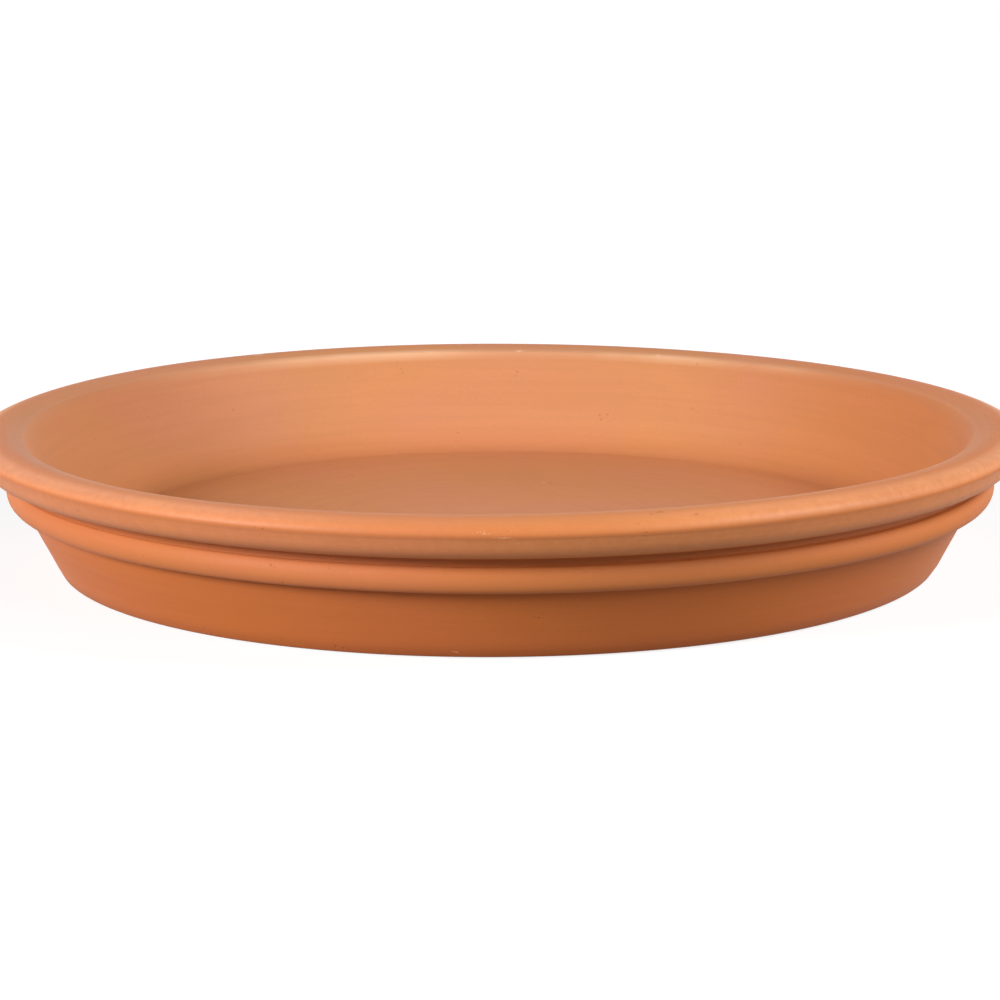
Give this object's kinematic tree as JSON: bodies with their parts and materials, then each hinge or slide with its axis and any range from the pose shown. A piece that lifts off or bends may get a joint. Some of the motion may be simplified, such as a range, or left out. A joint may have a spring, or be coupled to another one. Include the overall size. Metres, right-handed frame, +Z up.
{
  "type": "plant saucer",
  "caption": "Round terracotta saucer with a double rolled rim and a sloped wall, to stand under a flower pot and catch its water.",
  "frame": {"origin": "centre of the foot ring, on the ground that the saucer stands on", "axes": "+Z up along the centre line that the saucer is turned about; X and Y are alike"},
  "size_m": [0.31, 0.31, 0.0424],
  "materials": {
    "fired_clay": "matte, unglazed"
  },
  "bodies": {
    "root": {"saucer_body": "fired_clay"}
  },
  "joints": []
}
